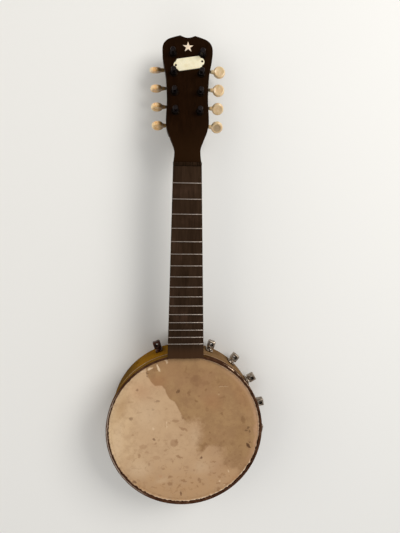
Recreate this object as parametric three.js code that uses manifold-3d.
// A small eight-string banjo mandolin, sold as a banjo ukulele: millimetres, +Z up.
// It lies on the back edge of its rim. +Y runs up the neck to the headstock, and +X is the
// player's right when the head faces the viewer.
// The pot, the neck and the headstock are worked out about the pot's own axis, with z = 0 at the
// rim's back edge, and the whole is then moved so that its origin is the middle of its footprint.
import * as THREE from "three";
import { mergeVertices } from "three/addons/utils/BufferGeometryUtils.js";
import Module from "manifold-3d";

const wasm = await Module();
wasm.setup();

// Driving dimensions of the strings' geometry
const scaleLength = 350;
const fretCount = 16;
const semitonesPerOctave = 12;

// Fits: seats between glued or bolted pieces, shafts that turn, and the overrun of a cutting solid
const seatGap = 0.3;
const runningClearance = 0.15;
const inlayGap = 0.15;
const cutOverrun = 2;
const weldTolerance = 0.0001;

// Rim: a steamed maple hoop with a turned-down top that takes the flesh hoop
const rimOuterRadius = 95.5;
const rimWall = 11;
const rimHeight = 57;
const rebateWidth = 3.6;
const rebateHeight = 17;
const bearingEdgeWidth = 2.4;
const skinEdgeRound = 1.2;
const innerBevelHeight = 5;
const rimSides = 40;

// Skin head: a vellum disc, turned down round the rim and lapped round the flesh hoop
const skinThickness = 0.5;

// Flesh hoop: a square wire inside the lap of the skin
const fleshWire = 3;

// Tension hoop: the flat band that presses the flesh hoop down
const hoopThickness = 3.3;
const hoopHeight = 9.5;
const hoopAboveSkin = 2.7;
const hoopEdgeBevel = 0.7;
const hoopPastLap = 0.5;

// Bracket shoes: a square block with a hook hole, on a foot that a bolt holds to the rim
const shoeSpacing = 20;
const shoePlaces = 18;
const shoesGone = [2, 3, 4, 5];
const shoeBlock = 9.4;
const shoeBlockHeight = 9.5;
const shoeBlockBevel = 1.3;
const shoeHoleRadius = 2.3;
const shoeHoleReach = 8.9;
const shoeHeight = 17.6;
const shoeFootWidth = 9;
const shoeFootHeight = 17;
const shoeFootThickness = 1.8;
const shoeNeckWidth = 6;
const shoeNeckHeight = 8;
const shoeBoltRadius = 2;
const shoeNutRadius = 4;
const shoeNutThickness = 3;
const boltSides = 6;
const nutSides = 6;

// Fingerboard: a flat tapered board that ends over the hoop's inner edge
const nutWidth = 33.4;
const boardEndWidth = 43.8;
const boardThickness = 4;
const boardPastLastFret = 18.3;
const boardPastHoop = 0.4;
const fretWidth = 1.5;
const fretHeight = 0.9;
const fretRoot = 0.5;
const fretInset = 0.2;
const fretCrownShare = 0.45;

// Nut: a dark slotted block at the board's upper end
const nutThickness = 4;
const nutAboveBoard = 1.3;
const courseCount = 4;
const courseSpacing = 8.2;
const stringPairSpacing = 2.4;
const slotWidth = 0.9;
const slotDepth = 0.8;

// Neck: the shaft, and a heel with a hollow curve that butts against the rim
const neckDepthAtNut = 15;
const neckDepthAtHeel = 17.5;
const heelDepth = 50;
const heelCap = 24;
const heelCurveLength = 36;
const neckSectionSteps = 12;
const heelCurveSteps = 7;
const throatSteps = 5;
const shaftRoundness = 2;
const heelRoundness = 2.3;
const slabSquareness = 9;

// Headstock: a slab that leans back from the nut, with a thin dark plate on its face
const headTilt = THREE.MathUtils.degToRad(9);
const headLength = 152;
const headWidth = 59.6;
const headCoreThickness = 12.5;
const headplateThickness = 2;
const throatShare = 0.2237;
// Half outline from the nut to the peak, then from the peak to the dip on the centre line:
// how far up the headstock, and how far out, as shares of its length and of half its width
const sideOutlineShares = [
  [0, 0.549],
  [0.065, 0.513],
  [0.125, 0.548],
  [0.25, 0.788],
  [0.325, 0.846],
  [0.503, 0.81],
  [0.69, 0.862],
  [0.79, 0.957],
  [0.87, 1],
  [0.925, 0.963],
  [0.964, 0.8],
  [0.985, 0.55],
  [1, 0.299],
];
const crestOutlineShares = [
  [1, 0.299],
  [0.986, 0.12],
  [0.983, 0],
];
const outlineStepsPerPoint = 2;
const crestStepsPerPoint = 2;

// Star inlay and name plate on the headstock's face
const starRadius = 6.6;
const starPoints = 5;
const starPlaceShare = 0.907;
const starThickness = 0.9;
const namePlateLength = 36.8;
const namePlateBodyLength = 29;
const namePlateRoom = 8.4;
const namePlateTabHeight = 9.4;
const namePlateCorner = 1.6;
const namePlateThickness = 1;
const namePlateTurn = THREE.MathUtils.degToRad(7.8);
const namePlateBelowMiddle = 0.5;
const namePlateAside = 1.2;
const pinSpacing = 30;
const pinRadius = 1.1;
const pinHeight = 0.5;
const pinSides = 6;

// Tuners: four a side on one plate, each a worm that turns the wheel on its string post
const tunerRows = 4;
const tunerSpacing = 23;
const firstTunerRowShare = 0.3355;
const firstPostColumn = 13.9;
const tunerSplay = THREE.MathUtils.degToRad(2.5);
const wheelTeeth = 14;
const wheelModule = 0.86;
const wheelWidth = 4;
const wheelBoreSides = 8;
const toothOuterShare = 0.17;
const toothRootShare = 0.27;
const addendum = 0.6;
const rootDepth = 1;
const wormPitchRadius = 3;
const wormAddendum = 0.7;
const wormRootDepth = 0.8;
const wormLength = 7;
const threadTipShare = 0.11;
const threadRootShare = 0.24;
const wormSides = 8;
const shaftRadius = 1.5;
const shaftSides = 6;
const shaftIntoButton = 5;
const postRadius = 3;
const postTenonRadius = 2;
const postStandsOut = 11;
const postWaistRadius = 2.4;
const postWaistHeight = 4.5;
const postCrown = 1;
const postSides = 8;
const stringHoleRadius = 0.8;
const stringHoleHeight = 6.2;
const stringHoleSides = 4;
const postScrewRadius = 3;
const postScrewHeight = 1.4;
const ferruleRadius = 3.8;
const ferruleHeight = 0.8;

// Tuner plates: one strip a side, with a pair of folded ears for each worm shaft, and its screws
const plateThickness = 1.2;
const plateMargin = 1.6;
const plateEndReach = 11;
const plateCorner = 2.5;
const earThickness = 1.2;
const earWidth = 6;
const earPastShaft = 3;
const earGap = 0.4;
const plateClearOfWorm = 0.6;
const plateScrewRadius = 1.8;
const plateScrewHeight = 1;
const screwSides = 6;

// Buttons: thick cream discs, held edge on to the shaft
const buttonRadius = 7.25;
const buttonThickness = 6.4;
const buttonFace = 4.2;
const buttonReach = 22.3;
const buttonCollarRadius = 2.4;
const buttonCollarLength = 2.2;
const buttonSides = 12;
const collarSides = 6;
// How far each button was last turned, from lying flat with the face, from the nut upwards
const leftButtonTurns = [20, 32, 55, 90].map(THREE.MathUtils.degToRad);
const rightButtonTurns = [14, -8, 4, -5].map(THREE.MathUtils.degToRad);

// Dowel stick, neck wedge and end bolt
const dowelWidth = 17;
const dowelDepth = 20;
const dowelIntoHeel = 20;
const wedgeLength = 46;
const wedgeDepth = 8;
const wedgeThickEnd = 10;
const wedgeThinEnd = 7;
const endBoltRadius = 2.6;
const endBoltIntoDowel = 24;
const endBoltHeadRadius = 5;
const endBoltHeadThickness = 4;
const washerRadius = 8;
const washerThickness = 1.2;
const washerSides = 16;

// How far a fret lies from the nut
function fretPlace(fret) {
  return scaleLength * (1 - 2 ** (-fret / semitonesPerOctave));
}

// Heights and radii that follow from the driving dimensions
const quarterTurn = Math.PI / 2;
const fullTurn = Math.PI * 2;
const rimInnerRadius = rimOuterRadius - rimWall;
const rebateRadius = rimOuterRadius - rebateWidth;
const skinTop = rimHeight + seatGap + skinThickness;
const skirtInnerRadius = rebateRadius + seatGap;
const skirtOuterRadius = skirtInnerRadius + skinThickness;
const fleshInnerRadius = skirtOuterRadius + seatGap;
const fleshOuterRadius = fleshInnerRadius + fleshWire;
const lapInnerRadius = fleshOuterRadius + seatGap;
const hoopTop = skinTop + hoopAboveSkin;
const hoopBottom = hoopTop - hoopHeight;
const fleshTop = hoopBottom - seatGap;
const fleshBottom = fleshTop - fleshWire;
const lapOuterRadius = lapInnerRadius + skinThickness;
const hoopOuterRadius = lapOuterRadius + hoopPastLap;
const hoopInnerRadius = hoopOuterRadius - hoopThickness;
const neckTop = hoopTop + seatGap;
const boardBottom = neckTop + seatGap;
const boardTop = boardBottom + boardThickness;
const boardLength = fretPlace(fretCount) + boardPastLastFret;
const nutToPotAxis = boardLength + hoopInnerRadius - boardPastHoop;
const headFace = seatGap + headplateThickness;
const dowelHeight = rimHeight - rebateHeight - dowelDepth / 2;
const throatLength = throatShare * headLength;
const firstTunerRow = firstTunerRowShare * headLength;
const namePlateHeight = tunerSpacing - namePlateRoom;
const plateBack = -headCoreThickness - seatGap - plateThickness;
const wheelPitchRadius = (wheelModule * wheelTeeth) / 2;
const wormPitch = Math.PI * wheelModule;
const centreDistance = wheelPitchRadius + wormPitchRadius;
const wormOuterRadius = wormPitchRadius + wormAddendum;
const wormAxis = plateBack - plateClearOfWorm - wormOuterRadius;
const wheelTop = wormAxis + wheelWidth / 2;
const wheelBottom = wormAxis - wheelWidth / 2;
const earInside = wormLength / 2 + earGap;
const earOutside = earInside + earThickness;
const plateHalfWidth = earOutside + plateMargin;
const tunerRowPlaces = Array.from({ length: tunerRows }, (_, row) => row * tunerSpacing);
const postPlaces = tunerRowPlaces.map((row) => row + centreDistance);
const sides = { left: -1, right: 1 };

// The circle through a hole's corners that leaves a round shaft its clearance at the flats
function boreRadius(shaft, clearance, sides) {
  return (shaft + clearance) / Math.cos(Math.PI / sides);
}

// A geometry's triangles, joined at their corners, as a solid that can be cut and joined
function solidOf(geometry) {
  const bare = geometry.clone();
  bare.deleteAttribute("normal");
  bare.deleteAttribute("uv");
  const joined = mergeVertices(bare, weldTolerance);
  const corners = [];
  for (let i = 0; i < joined.index.count; i += 3) {
    const [a, b, c] = [0, 1, 2].map((step) => joined.index.getX(i + step));
    if (a !== b && b !== c && c !== a) corners.push(a, b, c);
  }
  return new wasm.Manifold(
    new wasm.Mesh({
      numProp: 3,
      vertProperties: joined.attributes.position.array,
      triVerts: new Uint32Array(corners),
    }),
  );
}

function geometryOf(solid) {
  const { vertProperties, triVerts } = solid.getMesh();
  const indexed = new THREE.BufferGeometry();
  indexed.setAttribute("position", new THREE.BufferAttribute(vertProperties, 3));
  indexed.setIndex(new THREE.BufferAttribute(triVerts, 1));
  const geometry = indexed.toNonIndexed();
  geometry.computeVertexNormals();
  return geometry;
}

// A closed ring or a turned piece about Z, from [radius, height] points
function revolved(profile, sides) {
  const points = profile.map(([radius, height]) => new THREE.Vector2(radius, height));
  return solidOf(new THREE.LatheGeometry(points, sides).rotateX(quarterTurn));
}

// A rod along Z from one height to another
function rodGeometry(radius, from, to, sides) {
  const rod = new THREE.CylinderGeometry(radius, radius, to - from, sides);
  return rod.rotateX(quarterTurn).translate(0, 0, (from + to) / 2);
}

// A box given by its centre in X and its ends in Y and Z
function boxGeometry(middleX, width, fromY, toY, fromZ, toZ) {
  const box = new THREE.BoxGeometry(width, toY - fromY, toZ - fromZ);
  return box.translate(middleX, (fromY + toY) / 2, (fromZ + toZ) / 2);
}

// A flat outline given a thickness from one height to another
function slabGeometry(shape, from, to) {
  const slab = new THREE.ExtrudeGeometry(shape, { depth: to - from, bevelEnabled: false, curveSegments: 3 });
  return slab.translate(0, 0, from);
}

function shapeOf(points) {
  return new THREE.Shape(points.map(([x, y]) => new THREE.Vector2(x, y)));
}

// A rectangle about a middle point, with each corner cut off at an angle
function bevelledRectangle(middleX, middleY, width, height, bevel) {
  const [halfWidth, halfHeight] = [width / 2, height / 2];
  const corner = [
    [halfWidth, halfHeight - bevel],
    [halfWidth - bevel, halfHeight],
  ];
  const around = [
    ...corner,
    ...corner.map(([x, y]) => [-x, y]).reverse(),
    ...corner.map(([x, y]) => [-x, -y]),
    ...corner.map(([x, y]) => [x, -y]).reverse(),
  ];
  return shapeOf(around.map(([x, y]) => [middleX + x, middleY + y]));
}

// The triangles that close a flat ring of points, which may have teeth or other hollow corners
function capOf(ring) {
  const across = ring[1].clone().sub(ring[0]).normalize();
  const facing = across.clone().cross(ring[2].clone().sub(ring[0])).normalize();
  const up = facing.clone().cross(across);
  const flat = ring.map((point) => new THREE.Vector2(point.dot(across), point.dot(up)));
  return THREE.ShapeUtils.triangulateShape(flat, []);
}

// A skin over rings of points that each go round the piece once, closed at both ends
function lofted(rings) {
  const positions = rings.flat().flatMap((point) => [point.x, point.y, point.z]);
  const count = rings[0].length;
  const index = [];
  for (let ring = 0; ring + 1 < rings.length; ring++)
    for (let i = 0; i < count; i++) {
      const next = (i + 1) % count;
      const [a, b] = [ring * count + i, ring * count + next];
      const [c, d] = [a + count, b + count];
      index.push(a, b, c, b, d, c);
    }
  const last = (rings.length - 1) * count;
  for (const [a, b, c] of capOf(rings[0])) index.push(a, c, b);
  for (const [a, b, c] of capOf(rings[rings.length - 1])) index.push(last + a, last + b, last + c);
  const geometry = new THREE.BufferGeometry();
  geometry.setAttribute("position", new THREE.Float32BufferAttribute(positions, 3));
  geometry.setIndex(index);
  return solidOf(geometry);
}

// The whole instrument, and the leaning frame of the headstock: +Y up its face, z = 0 on its wood
const instrument = new THREE.Group();
const headstock = new THREE.Group();
headstock.position.set(0, nutToPotAxis + nutThickness + seatGap, neckTop);
headstock.rotation.x = -headTilt;
headstock.updateMatrix();
instrument.add(headstock);

function material(color, roughness, metalness) {
  return new THREE.MeshStandardMaterial({ color, roughness, metalness });
}

function addPiece(group, name, solid, look) {
  const piece = new THREE.Mesh(geometryOf(solid), look());
  piece.name = name;
  group.add(piece);
  return piece;
}

const darkWood = () => material(0x1b120d, 0.45, 0);
const boardWood = () => material(0x2f1c14, 0.6, 0);
const maple = () => material(0xa8742c, 0.35, 0);
const plainMaple = () => material(0xb08a56, 0.7, 0);
const vellum = () => material(0xc4a378, 0.75, 0);
const agedBrass = () => material(0x4a3020, 0.45, 0.8);
const nickel = () => material(0x9a968c, 0.3, 0.9);
const darkSteel = () => material(0x3a3632, 0.4, 0.9);
const cream = () => material(0xe4d3a6, 0.35, 0);
const pearl = () => material(0xf0e0d0, 0.25, 0);
const ebony = () => material(0x14100e, 0.5, 0);

// Rim, with the holes of all its shoe bolts, the end bolt's hole and the dowel stick's square hole
function shoeAngle(place) {
  return quarterTurn + THREE.MathUtils.degToRad(place * shoeSpacing);
}

// The neck stands at place 0 and the end bolt at the place opposite, so neither has a shoe
const shoeBoltPlaces = Array.from({ length: shoePlaces }, (_, place) => place).filter(
  (place) => place > 0 && place * 2 !== shoePlaces,
);

function radialRod(radius, from, to, sides, height, angle) {
  return rodGeometry(radius, from, to, sides).rotateY(quarterTurn).rotateZ(angle).translate(0, 0, height);
}

const rimProfile = [
  [rimInnerRadius, 0],
  [rimOuterRadius, 0],
  [rimOuterRadius, rimHeight - rebateHeight],
  [rebateRadius, rimHeight - rebateHeight],
  [rebateRadius, rimHeight],
  [rebateRadius - bearingEdgeWidth, rimHeight],
  [rimInnerRadius, rimHeight - innerBevelHeight],
  [rimInnerRadius, 0],
];
let rim = revolved(rimProfile, rimSides);
for (const place of shoeBoltPlaces) {
  const holeRadius = boreRadius(shoeBoltRadius, runningClearance, boltSides);
  const [from, to] = [rimInnerRadius - cutOverrun, rimOuterRadius + cutOverrun];
  rim = rim.subtract(solidOf(radialRod(holeRadius, from, to, boltSides, shoeHeight, shoeAngle(place))));
}
const endBoltHole = boreRadius(endBoltRadius, runningClearance, boltSides);
const rimEdges = [rimInnerRadius - cutOverrun, rimOuterRadius + cutOverrun];
rim = rim.subtract(solidOf(radialRod(endBoltHole, ...rimEdges, boltSides, dowelHeight, -quarterTurn)));
const dowelLow = dowelHeight - dowelDepth / 2;
const dowelHigh = dowelHeight + dowelDepth / 2;
const dowelHoleWidth = dowelWidth + 2 * seatGap;
const rimHoleFrom = rimInnerRadius * Math.cos(Math.asin(dowelHoleWidth / 2 / rimInnerRadius)) - cutOverrun;
rim = rim.subtract(
  solidOf(
    boxGeometry(0, dowelHoleWidth, rimHoleFrom, rimEdges[1], dowelLow - seatGap, dowelHigh + seatGap),
  ),
);
addPiece(instrument, "rim", rim, maple);

// Skin head: flat over the bearing edge, down the rebate, and lapped under and up the flesh hoop
const lapBottom = fleshBottom - seatGap - skinThickness;
const skinProfile = [
  [0, skinTop - skinThickness],
  [skirtInnerRadius, skinTop - skinThickness],
  [skirtInnerRadius, lapBottom],
  [lapOuterRadius, lapBottom],
  [lapOuterRadius, fleshTop],
  [lapInnerRadius, fleshTop],
  [lapInnerRadius, lapBottom + skinThickness],
  [skirtOuterRadius, lapBottom + skinThickness],
  [skirtOuterRadius, skinTop - skinEdgeRound],
  [skirtOuterRadius - skinEdgeRound, skinTop],
  [0, skinTop],
];
addPiece(instrument, "skin_head", revolved(skinProfile, rimSides), vellum);

// Flesh hoop
const fleshProfile = [
  [fleshInnerRadius, fleshBottom],
  [fleshOuterRadius, fleshBottom],
  [fleshOuterRadius, fleshTop],
  [fleshInnerRadius, fleshTop],
  [fleshInnerRadius, fleshBottom],
];
addPiece(instrument, "flesh_hoop", revolved(fleshProfile, rimSides), agedBrass);

// Tension hoop
const hoopProfile = [
  [hoopInnerRadius, hoopBottom],
  [hoopOuterRadius, hoopBottom],
  [hoopOuterRadius, hoopTop - hoopEdgeBevel],
  [hoopOuterRadius - hoopEdgeBevel, hoopTop],
  [hoopInnerRadius, hoopTop],
  [hoopInnerRadius, hoopBottom],
];
addPiece(instrument, "tension_hoop", revolved(hoopProfile, rimSides), agedBrass);

// Bracket shoes: each block stands off the rim on a neck, and its bolt ends in a nut inside the rim
function bracketShoe() {
  const footFrom = rimOuterRadius + seatGap;
  const footTo = footFrom + shoeFootThickness;
  const blockMiddle = rimOuterRadius + shoeHoleReach;
  const blockFrom = blockMiddle - shoeBlock / 2;
  const [blockLow, blockHigh] = [shoeHeight - shoeBlockHeight / 2, shoeHeight + shoeBlockHeight / 2];
  const nutTo = rimInnerRadius * Math.cos(Math.PI / rimSides) - seatGap;
  const nutFrom = nutTo - shoeNutThickness;
  const holeRadius = boreRadius(shoeHoleRadius, 0, boltSides);
  const hole = rodGeometry(holeRadius, blockLow - cutOverrun, blockHigh + cutOverrun, boltSides);
  const blockShape = bevelledRectangle(blockMiddle, 0, shoeBlock, shoeBlock, shoeBlockBevel);
  const drilled = solidOf(hole.translate(blockMiddle, 0, 0));
  const block = solidOf(slabGeometry(blockShape, blockLow, blockHigh)).subtract(drilled);
  const footMiddle = (footFrom + footTo) / 2;
  const foot = boxGeometry(
    footMiddle,
    shoeFootThickness,
    -shoeFootWidth / 2,
    shoeFootWidth / 2,
    shoeHeight - shoeFootHeight / 2,
    shoeHeight + shoeFootHeight / 2,
  );
  const neckTo = blockFrom + shoeBlockBevel;
  const neck = boxGeometry(
    (footMiddle + neckTo) / 2,
    neckTo - footMiddle,
    -shoeNeckWidth / 2,
    shoeNeckWidth / 2,
    shoeHeight - shoeNeckHeight / 2,
    shoeHeight + shoeNeckHeight / 2,
  );
  const bolt = radialRod(shoeBoltRadius, nutFrom, footTo, boltSides, shoeHeight, 0);
  const nut = radialRod(shoeNutRadius, nutFrom, nutTo, nutSides, shoeHeight, 0);
  return block.add(solidOf(foot)).add(solidOf(neck)).add(solidOf(bolt)).add(solidOf(nut));
}

const shoe = bracketShoe();
shoeBoltPlaces
  .filter((place) => !shoesGone.includes(place))
  .forEach((place, index) => {
    const piece = addPiece(instrument, `bracket_shoe_${index + 1}`, shoe, nickel);
    piece.rotation.z = shoeAngle(place);
  });

// Headstock outline: half widths up its length, as one run of points from the nut to the dip
function outlineRun(shares, stepsPerPoint) {
  const curve = new THREE.SplineCurve(
    shares.map(([along, out]) => new THREE.Vector2((out * headWidth) / 2, along * headLength)),
  );
  return curve.getPoints((shares.length - 1) * stepsPerPoint);
}
const sideRun = outlineRun(sideOutlineShares, outlineStepsPerPoint);
const crestRun = outlineRun(crestOutlineShares, crestStepsPerPoint);

function headHalfWidth(along) {
  const after = Math.max(1, sideRun.findIndex((point) => point.y >= along));
  const [low, high] = [sideRun[after - 1], sideRun[after]];
  return THREE.MathUtils.mapLinear(along, low.y, high.y, low.x, high.x);
}

function headOutline(from) {
  const half = [
    new THREE.Vector2(headHalfWidth(from), from),
    ...sideRun.filter((point) => point.y > from),
    ...crestRun.slice(1),
  ];
  const otherHalf = half.slice(0, -1).map((point) => new THREE.Vector2(-point.x, point.y));
  return new THREE.Shape([...half, ...otherHalf.reverse()]);
}

// Neck: sections from the heel to the throat of the headstock, each flat on top and round below
function neckSection(frame, along, halfWidth, depth, squareness) {
  const points = [];
  for (let step = 0; step <= neckSectionSteps; step++) {
    const angle = (step / neckSectionSteps) * Math.PI;
    const [across, down] = [Math.cos(angle), Math.sin(angle)];
    const x = Math.sign(across) * Math.abs(across) ** (2 / squareness);
    const z = Math.abs(down) ** (2 / squareness);
    points.push(new THREE.Vector3(x * halfWidth, along, -z * depth).applyMatrix4(frame));
  }
  return points;
}

function boardHalfWidth(y) {
  const potEnd = nutToPotAxis - boardLength;
  return THREE.MathUtils.mapLinear(y, nutToPotAxis, potEnd, nutWidth / 2, boardEndWidth / 2);
}

const neckFrame = new THREE.Matrix4().makeTranslation(0, 0, neckTop);
const headFrame = headstock.matrix;
const heelFace = rimOuterRadius + heelCap;
const shaftStart = heelFace + heelCurveLength;
const neckSections = [
  neckSection(neckFrame, rimInnerRadius, boardHalfWidth(rimInnerRadius), heelDepth, heelRoundness),
];
for (let step = 0; step <= heelCurveSteps; step++) {
  const angle = (step / heelCurveSteps) * quarterTurn;
  const y = shaftStart - heelCurveLength * Math.cos(angle);
  const depth = heelDepth - (heelDepth - neckDepthAtHeel) * Math.sin(angle);
  const roundness = THREE.MathUtils.lerp(heelRoundness, shaftRoundness, step / heelCurveSteps);
  neckSections.push(neckSection(neckFrame, y, boardHalfWidth(y), depth, roundness));
}
neckSections.push(neckSection(neckFrame, nutToPotAxis, nutWidth / 2, neckDepthAtNut, shaftRoundness));
for (let step = 1; step <= throatSteps; step++) {
  const share = step / throatSteps;
  const along = share * throatLength;
  const depth = THREE.MathUtils.lerp(neckDepthAtNut, headCoreThickness, share);
  const squareness = THREE.MathUtils.lerp(shaftRoundness, slabSquareness, share ** 2);
  neckSections.push(neckSection(headFrame, along, headHalfWidth(along), depth, squareness));
}
const headSlab = slabGeometry(headOutline(throatLength - seatGap), -headCoreThickness, 0);
let neck = lofted(neckSections).add(solidOf(headSlab.applyMatrix4(headFrame)));

// The heel follows the rim, with more room where the lap of the skin and the tension hoop stand out
const heelSeat = [
  [0, -cutOverrun],
  [rimOuterRadius + seatGap, -cutOverrun],
  [rimOuterRadius + seatGap, rimHeight - rebateHeight],
  [hoopOuterRadius + seatGap, rimHeight - rebateHeight + hoopOuterRadius - rimOuterRadius],
  [hoopOuterRadius + seatGap, neckTop + cutOverrun],
  [0, neckTop + cutOverrun],
];
neck = neck.subtract(revolved(heelSeat, rimSides));
const dowelEnd = rimOuterRadius + dowelIntoHeel;
const mortiseWidth = dowelWidth + 2 * seatGap;
neck = neck.subtract(
  solidOf(
    boxGeometry(0, mortiseWidth, rimInnerRadius, dowelEnd + seatGap, dowelLow - seatGap, dowelHigh + seatGap),
  ),
);

// The tuners of each side run along a line that leans out from the neck towards the tip: +Y along
// the line, and the first worm shaft at the origin. Each string post passes through the headplate,
// the wood and the tuner plate
function addTunerLine(side) {
  const line = new THREE.Group();
  line.position.set(side * firstPostColumn, firstTunerRow, 0);
  line.rotation.z = -side * tunerSplay;
  line.updateMatrix();
  headstock.add(line);
  return line;
}
const tunerLines = { left: addTunerLine(sides.left), right: addTunerLine(sides.right) };

function postHole(y, from, to) {
  const radius = boreRadius(postRadius, runningClearance, postSides);
  return rodGeometry(radius, from - cutOverrun, to + cutOverrun, postSides).translate(0, y, 0);
}
for (const line of Object.values(tunerLines))
  for (const y of postPlaces) {
    const hole = postHole(y, -headCoreThickness, 0).applyMatrix4(line.matrix);
    neck = neck.subtract(solidOf(hole.applyMatrix4(headFrame)));
  }
addPiece(instrument, "neck", neck, darkWood);

// Headplate: the dark face, with a ferrule round each post and a pocket for the star
const starTipAngle = Math.PI / (2 * starPoints);
function starShape(radius) {
  const innerRadius = (radius * Math.sin(starTipAngle)) / Math.sin(3 * starTipAngle);
  const points = [];
  for (let i = 0; i < 2 * starPoints; i++) {
    const angle = quarterTurn + (i * Math.PI) / starPoints;
    const reach = i % 2 ? innerRadius : radius;
    points.push([reach * Math.cos(angle), reach * Math.sin(angle)]);
  }
  return shapeOf(points);
}
const starPlace = starPlaceShare * headLength;
const starPocketRadius = starRadius + inlayGap / Math.sin(starTipAngle);
const starBottom = headFace - starThickness;
let headplate = solidOf(slabGeometry(headOutline(0), seatGap, headFace));
for (const line of Object.values(tunerLines))
  for (const y of postPlaces) {
    const ferruleEnds = [headFace - headplateThickness / 2, headFace + ferruleHeight];
    const ferrule = rodGeometry(ferruleRadius, ...ferruleEnds, postSides);
    headplate = headplate.add(solidOf(ferrule.translate(0, y, 0).applyMatrix4(line.matrix)));
    headplate = headplate.subtract(solidOf(postHole(y, 0, headFace).applyMatrix4(line.matrix)));
  }
const starPocket = slabGeometry(starShape(starPocketRadius), starBottom - inlayGap, headFace + cutOverrun);
headplate = headplate.subtract(solidOf(starPocket.translate(0, starPlace, 0)));
addPiece(headstock, "headplate", headplate, darkWood);
const star = solidOf(slabGeometry(starShape(starRadius), starBottom, headFace));
addPiece(headstock, "star_inlay", star, pearl).position.y = starPlace;

// Name plate, left bare: a body with cut corners, a rounded tab at each end, and two pins. It lies
// across the headstock between the two upper pairs of posts
const upperPosts = postPlaces.slice(-2);
const namePlatePlace = firstTunerRow + (upperPosts[0] + upperPosts[1]) / 2 - namePlateBelowMiddle;
function namePlateSolid() {
  const [low, high] = [headFace + seatGap, headFace + seatGap + namePlateThickness];
  const body = bevelledRectangle(0, 0, namePlateBodyLength, namePlateHeight, namePlateCorner);
  const tabs = new THREE.Shape();
  const tabRadius = namePlateTabHeight / 2;
  const tabMiddle = namePlateLength / 2 - tabRadius;
  tabs.absarc(tabMiddle, 0, tabRadius, -quarterTurn, quarterTurn);
  tabs.absarc(-tabMiddle, 0, tabRadius, quarterTurn, -quarterTurn + fullTurn);
  let plate = solidOf(slabGeometry(body, low, high)).add(solidOf(slabGeometry(tabs, low, high)));
  for (const side of [-1, 1]) {
    const pin = rodGeometry(pinRadius, low + namePlateThickness / 2, high + pinHeight, pinSides);
    plate = plate.add(solidOf(pin.translate((side * pinSpacing) / 2, 0, 0)));
  }
  return plate;
}
const namePlate = addPiece(headstock, "name_plate", namePlateSolid(), cream);
namePlate.position.set(namePlateAside, namePlatePlace, 0);
namePlate.rotation.z = namePlateTurn;

// Fingerboard with its frets, each a low crown as wide as the board, less a little at each end
const boardPotEnd = nutToPotAxis - boardLength;
const boardOutline = shapeOf([
  [-boardEndWidth / 2, boardPotEnd],
  [boardEndWidth / 2, boardPotEnd],
  [nutWidth / 2, nutToPotAxis],
  [-nutWidth / 2, nutToPotAxis],
]);
let fingerboard = solidOf(slabGeometry(boardOutline, boardBottom, boardTop));
for (let fret = 1; fret <= fretCount; fret++) {
  const y = nutToPotAxis - fretPlace(fret);
  const length = 2 * (boardHalfWidth(y) - fretInset);
  const crown = (fretWidth * fretCrownShare) / 2;
  const section = shapeOf([
    [-fretWidth / 2, boardTop - fretRoot],
    [fretWidth / 2, boardTop - fretRoot],
    [crown, boardTop + fretHeight],
    [-crown, boardTop + fretHeight],
  ]);
  const wire = slabGeometry(section, -length / 2, length / 2);
  wire.rotateX(quarterTurn).rotateZ(quarterTurn).translate(0, y, 0);
  fingerboard = fingerboard.add(solidOf(wire));
}
addPiece(instrument, "fingerboard", fingerboard, boardWood);

// Nut: four courses of two strings, so eight slots across its top
function nutSolid() {
  const [low, high] = [boardBottom, boardTop + nutAboveBoard];
  const block = boxGeometry(0, nutWidth, 0, nutThickness, low, high);
  let solid = solidOf(block.translate(0, nutToPotAxis + seatGap / 2, 0));
  for (let course = 0; course < courseCount; course++)
    for (const side of [-1, 1]) {
      const x = (course - (courseCount - 1) / 2) * courseSpacing + (side * stringPairSpacing) / 2;
      const alongNut = [-cutOverrun, nutThickness + cutOverrun];
      const slot = boxGeometry(x, slotWidth, ...alongNut, high - slotDepth, high + cutOverrun);
      solid = solid.subtract(solidOf(slot.translate(0, nutToPotAxis, 0)));
    }
  return solid;
}
addPiece(instrument, "nut", nutSolid(), ebony);

// Tuner plates, each along its line, with the screws at both ends and between each two tuners
const plateFrom = -plateEndReach;
const plateTo = postPlaces[tunerRows - 1] + plateEndReach;

function plateScrewPlaces(side) {
  const between = postPlaces.slice(0, -1).map((place, row) => {
    const wheelEdge = place + wheelPitchRadius + addendum;
    const nextEar = tunerRowPlaces[row + 1] - earWidth / 2;
    return [-side * (earInside - plateScrewRadius / 2), (wheelEdge + nextEar) / 2];
  });
  const fromEnd = plateScrewRadius + plateMargin;
  return [[0, plateFrom + fromEnd], ...between, [0, plateTo - fromEnd / 2]];
}

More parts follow.
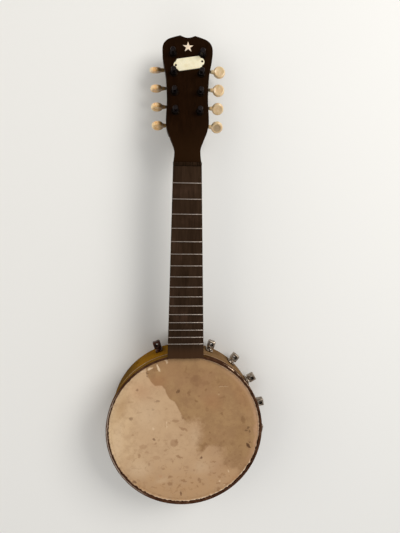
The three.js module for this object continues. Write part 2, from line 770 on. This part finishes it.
function tunerPlate(side) {
  const [plateMiddle, plateLength] = [(plateFrom + plateTo) / 2, plateTo - plateFrom];
  const strip = bevelledRectangle(0, plateMiddle, 2 * plateHalfWidth, plateLength, plateCorner);
  let plate = solidOf(slabGeometry(strip, plateBack, plateBack + plateThickness));
  const earTip = wormAxis - earPastShaft;
  const earBase = plateBack + plateThickness / 2;
  for (const row of tunerRowPlaces) {
    plate = plate.subtract(solidOf(postHole(row + centreDistance, plateBack, plateBack)));
    for (const end of [-1, 1]) {
      const earMiddle = (end * (earInside + earOutside)) / 2;
      const earSides = [row - earWidth / 2, row + earWidth / 2];
      const ear = boxGeometry(earMiddle, earThickness, ...earSides, earTip, earBase);
      plate = plate.add(solidOf(ear));
    }
    const holeRadius = boreRadius(shaftRadius, runningClearance, shaftSides);
    const reach = earOutside + cutOverrun;
    const shaftHole = rodGeometry(holeRadius, -reach, reach, shaftSides).rotateY(quarterTurn);
    plate = plate.subtract(solidOf(shaftHole.translate(0, row, wormAxis)));
  }
  for (const [x, y] of plateScrewPlaces(side)) {
    const head = rodGeometry(plateScrewRadius, plateBack - plateScrewHeight, earBase, screwSides);
    plate = plate.add(solidOf(head.translate(x, y, 0)));
  }
  return plate;
}

// Worm shaft along X, with its thread's crest towards the wheel at the middle of the worm
function wormShaft(side) {
  const rootRadius = wormPitchRadius - wormRootDepth;
  const wormHalf = wormLength / 2;
  const tip = side * (buttonReach - buttonRadius + shaftIntoButton);
  const inner = -side * (earOutside + earGap);
  const ends = [Math.min(inner, tip), Math.max(inner, tip)];
  const shaft = rodGeometry(shaftRadius, ...ends, shaftSides).rotateY(quarterTurn);
  const core = rodGeometry(rootRadius, -wormHalf, wormHalf, wormSides).rotateY(quarterTurn);
  const tipHalf = threadTipShare * wormPitch;
  const rootHalf = threadRootShare * wormPitch;
  const stepsEachWay = Math.floor(((wormHalf - rootHalf) / wormPitch) * wormSides);
  const rings = [];
  for (let step = -stepsEachWay; step <= stepsEachWay; step++) {
    const turn = step / wormSides;
    const section = [
      [shaftRadius, rootHalf],
      [wormOuterRadius, tipHalf],
      [wormOuterRadius, -tipHalf],
      [shaftRadius, -rootHalf],
    ];
    const [across, up] = [Math.cos(turn * fullTurn), Math.sin(turn * fullTurn)];
    rings.push(
      section.map(([radius, x]) => new THREE.Vector3(turn * wormPitch + x, radius * across, radius * up)),
    );
  }
  return solidOf(shaft).add(solidOf(core)).add(lofted(rings));
}

// Worm wheel: slanted teeth, with the middle of a gap towards the worm
function wormWheel() {
  const outer = wheelPitchRadius + addendum;
  const root = wheelPitchRadius - rootDepth;
  const toothAngle = fullTurn / wheelTeeth;
  const slant = ((wheelWidth / 2) * wormPitch) / (fullTurn * wormPitchRadius) / wheelPitchRadius;
  const rings = [-1, 1].map((end) => {
    const ring = [];
    for (let tooth = 0; tooth < wheelTeeth; tooth++) {
      const middle = -quarterTurn + (tooth + 1 / 2) * toothAngle + end * slant;
      const corners = [
        [root, -toothRootShare],
        [outer, -toothOuterShare],
        [outer, toothOuterShare],
        [root, toothRootShare],
      ];
      for (const [radius, share] of corners) {
        const angle = middle + share * toothAngle;
        const [x, y] = [radius * Math.cos(angle), radius * Math.sin(angle)];
        ring.push(new THREE.Vector3(x, y, (end * wheelWidth) / 2));
      }
    }
    return ring;
  });
  const bore = boreRadius(postTenonRadius, runningClearance, wheelBoreSides);
  const boreReach = wheelWidth / 2 + cutOverrun;
  return lofted(rings).subtract(solidOf(rodGeometry(bore, -boreReach, boreReach, wheelBoreSides)));
}

// String post: screw head, tenon through the wheel, body, waist with the string hole, and crown
function stringPost() {
  const shoulder = wheelTop + seatGap;
  const top = headFace + postStandsOut;
  const screwTop = wheelBottom - seatGap;
  const hole = headFace + stringHoleHeight;
  const waist = postWaistHeight / 2;
  const waistStep = postRadius - postWaistRadius;
  const profile = [
    [0, screwTop - postScrewHeight],
    [postScrewRadius, screwTop - postScrewHeight],
    [postScrewRadius, screwTop],
    [postTenonRadius, screwTop],
    [postTenonRadius, shoulder],
    [postRadius, shoulder],
    [postRadius, hole - waist - waistStep],
    [postWaistRadius, hole - waist],
    [postWaistRadius, hole + waist],
    [postRadius, hole + waist + waistStep],
    [postRadius, top - postCrown],
    [postRadius - postCrown, top],
    [0, top],
  ];
  const drillReach = postRadius + cutOverrun;
  const drill = rodGeometry(stringHoleRadius, -drillReach, drillReach, stringHoleSides);
  return revolved(profile, postSides).subtract(solidOf(drill.rotateY(quarterTurn).translate(0, 0, hole)));
}

// Button: a disc with rounded edges and a short collar towards the headstock, bored for the shaft
function button(side) {
  const [halfFace, halfThickness] = [buttonFace / 2, buttonThickness / 2];
  const shoulder = buttonRadius - (halfThickness - halfFace);
  const profile = [
    [0, -halfThickness],
    [shoulder, -halfThickness],
    [buttonRadius, -halfFace],
    [buttonRadius, halfFace],
    [shoulder, halfThickness],
    [0, halfThickness],
  ];
  const collarEnd = -side * (buttonRadius + buttonCollarLength);
  const collarEnds = [Math.min(collarEnd, 0), Math.max(collarEnd, 0)];
  const collar = rodGeometry(buttonCollarRadius, ...collarEnds, collarSides).rotateY(quarterTurn);
  const depth = shaftIntoButton + seatGap - buttonRadius;
  const boreEnd = collarEnd - side * cutOverrun;
  const bottom = side * depth;
  const bore = boreRadius(shaftRadius, runningClearance, shaftSides);
  const boreRod = rodGeometry(bore, Math.min(boreEnd, bottom), Math.max(boreEnd, bottom), shaftSides);
  return revolved(profile, buttonSides).add(solidOf(collar)).subtract(solidOf(boreRod.rotateY(quarterTurn)));
}

const post = stringPost();
const wheel = wormWheel();
function addTuners(side, sideName, turns) {
  const line = tunerLines[sideName];
  const shaft = wormShaft(side);
  const head = button(side);
  addPiece(line, `tuner_plate_${sideName}`, tunerPlate(side), darkSteel);
  tunerRowPlaces.forEach((row, index) => {
    const name = `${sideName}_${index + 1}`;
    addPiece(line, `worm_shaft_${name}`, shaft, darkSteel).position.set(0, row, wormAxis);
    addPiece(line, `worm_wheel_${name}`, wheel, darkSteel).position.set(0, postPlaces[index], wormAxis);
    addPiece(line, `string_post_${name}`, post, darkSteel).position.set(0, postPlaces[index], 0);
    const disc = addPiece(line, `button_${name}`, head, cream);
    disc.position.set(side * buttonReach, row, wormAxis);
    disc.rotation.x = turns[index];
  });
}
addTuners(sides.left, "left", leftButtonTurns);
addTuners(sides.right, "right", rightButtonTurns);

// Neck wedge: a tapered peg that bears on the inside of the rim and draws the heel against it
const wedgeFace =
  Math.sqrt(rimInnerRadius ** 2 - (wedgeLength / 2) ** 2) * Math.cos(Math.PI / rimSides) - seatGap;
function wedgeShape(room) {
  return shapeOf([
    [-wedgeLength / 2 - room, wedgeFace + room],
    [-wedgeLength / 2 - room, wedgeFace - wedgeThinEnd - room],
    [wedgeLength / 2 + room, wedgeFace - wedgeThickEnd - room],
    [wedgeLength / 2 + room, wedgeFace + room],
  ]);
}
function wedgeSolid(room) {
  const reach = wedgeDepth / 2 + room;
  return solidOf(slabGeometry(wedgeShape(room), dowelHeight - reach, dowelHeight + reach));
}
addPiece(instrument, "neck_wedge", wedgeSolid(0), plainMaple);

// Dowel stick: from the heel's mortise through the rim, across the pot, to the inside of its tail
const dowelTailReach = Math.sqrt(rimInnerRadius ** 2 - (dowelWidth / 2) ** 2);
const dowelTail = seatGap - dowelTailReach * Math.cos(Math.PI / rimSides);
let dowel = solidOf(boxGeometry(0, dowelWidth, dowelTail, dowelEnd, dowelLow, dowelHigh));
dowel = dowel.subtract(wedgeSolid(seatGap));
const dowelBore = dowelTail + endBoltIntoDowel + seatGap;
const boreRod = rodGeometry(endBoltHole, dowelTail - cutOverrun, dowelBore, boltSides);
dowel = dowel.subtract(solidOf(boreRod.rotateX(-quarterTurn).translate(0, 0, dowelHeight)));
addPiece(instrument, "dowel_stick", dowel, plainMaple);

// End bolt: through the tail of the rim into the dowel stick, with a washer under its head
function endBoltSolid() {
  const washerFrom = rimOuterRadius + seatGap;
  const headFrom = washerFrom + washerThickness;
  const bolt = rodGeometry(endBoltRadius, -dowelTail - endBoltIntoDowel, headFrom, boltSides);
  const washer = rodGeometry(washerRadius, washerFrom, headFrom, washerSides);
  const head = rodGeometry(endBoltHeadRadius, washerFrom, headFrom + endBoltHeadThickness, nutSides);
  return solidOf(bolt).add(solidOf(washer)).add(solidOf(head));
}
const endBolt = addPiece(instrument, "end_bolt", endBoltSolid(), nickel);
endBolt.rotation.x = quarterTurn;
endBolt.position.z = dowelHeight;

// The origin is the middle of the footprint, level with the rim's back edge
const footprint = new THREE.Box3().setFromObject(instrument, true);
const middle = footprint.getCenter(new THREE.Vector3());
instrument.position.set(-middle.x, -middle.y, 0);

export default instrument;
